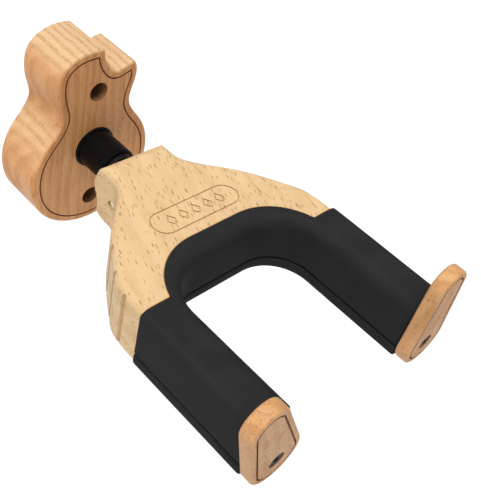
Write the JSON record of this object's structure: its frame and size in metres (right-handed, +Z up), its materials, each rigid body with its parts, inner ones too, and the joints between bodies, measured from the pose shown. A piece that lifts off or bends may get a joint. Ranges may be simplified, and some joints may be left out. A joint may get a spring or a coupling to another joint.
{
  "type": "wall guitar hanger",
  "caption": "Wall hanger for a guitar: wooden plate, swivelling padded wooden yoke and wooden gates that close across the arms when the neck's weight tips the yoke.",
  "frame": {"origin": "on the swivel axis, at the plate's back face, where it meets the wall", "axes": "+Y into the wall along the swivel axis, +Z up, +X to the right of someone facing the wall"},
  "size_m": [0.1232, 0.1919, 0.0957],
  "materials": {
    "plate_wood": "fine-grained beech, oiled satin",
    "yoke_wood": "light honey beech with short dark flecks, oiled satin",
    "gate_wood": "beech, oiled satin",
    "black_foam": "soft matte black cushioning rubber",
    "black_steel": "satin black finish",
    "dark_steel": "blackened steel, satin",
    "zinc_steel": "zinc plated",
    "bright_steel": "polished",
    "black_screw": "black oxide",
    "bush_bronze": "sintered bronze",
    "white_nylon": "natural nylon"
  },
  "bodies": {
    "wall_base": {"wall_plate": "plate_wood", "mount_sleeve": "black_steel", "collar_ring": "black_steel", "flange_screws": "zinc_steel", "rear_bush": "bush_bronze", "front_bush": "bush_bronze"},
    "swivel": {"swivel_shaft": "dark_steel", "thrust_washer": "white_nylon", "wave_washer": "zinc_steel", "lock_nut": "zinc_steel", "lock_fork": "zinc_steel", "fork_screws": "zinc_steel"},
    "yoke": {"yoke_body": "yoke_wood", "return_spring": "zinc_steel", "pivot_pin": "bright_steel", "pivot_washers": "white_nylon", "upper_pad": "black_foam", "lower_pad": "black_foam", "bottom_cover": "yoke_wood", "cover_screws": "black_screw", "rear_gate_bushes": "bush_bronze", "front_gate_bushes": "bush_bronze"},
    "left_gate": {"gate_left": "gate_wood", "gate_washer_left": "white_nylon", "gate_shaft_left": "dark_steel", "crank_left": "zinc_steel", "gate_screw_left": "black_screw"},
    "right_gate": {"gate_right": "gate_wood", "gate_washer_right": "white_nylon", "gate_shaft_right": "dark_steel", "crank_right": "zinc_steel", "gate_screw_right": "black_screw"}
  },
  "joints": [
    {"name": "swivel_turn", "type": "hinge", "parent": "wall_base", "child": "swivel", "pos_m": [0, 0, 0], "axis": [0, 1, 0], "continuous": true},
    {"name": "yoke_tilt", "type": "hinge", "parent": "swivel", "child": "yoke", "pos_m": [0, -0.061, -0.0017], "axis": [1, 0, 0], "range_deg": [0, 4], "stiffness_Nm_per_rad": 2.5, "springref_deg": -5.16, "deforming": ["return_spring"]},
    {"name": "gate_left_swing", "type": "hinge", "parent": "yoke", "child": "left_gate", "pos_m": [-0.045, -0.187, -0.0043], "axis": [0, 1, 0], "range_deg": [0, 112]},
    {"name": "gate_right_swing", "type": "hinge", "parent": "yoke", "child": "right_gate", "pos_m": [0.045, -0.187, -0.0043], "axis": [0, -1, 0], "range_deg": [0, 86]}
  ],
  "couplings": [
    {"joint": "gate_left_swing", "follows": "yoke_tilt", "ratio": 28},
    {"joint": "gate_right_swing", "follows": "yoke_tilt", "ratio": 21.5}
  ]
}
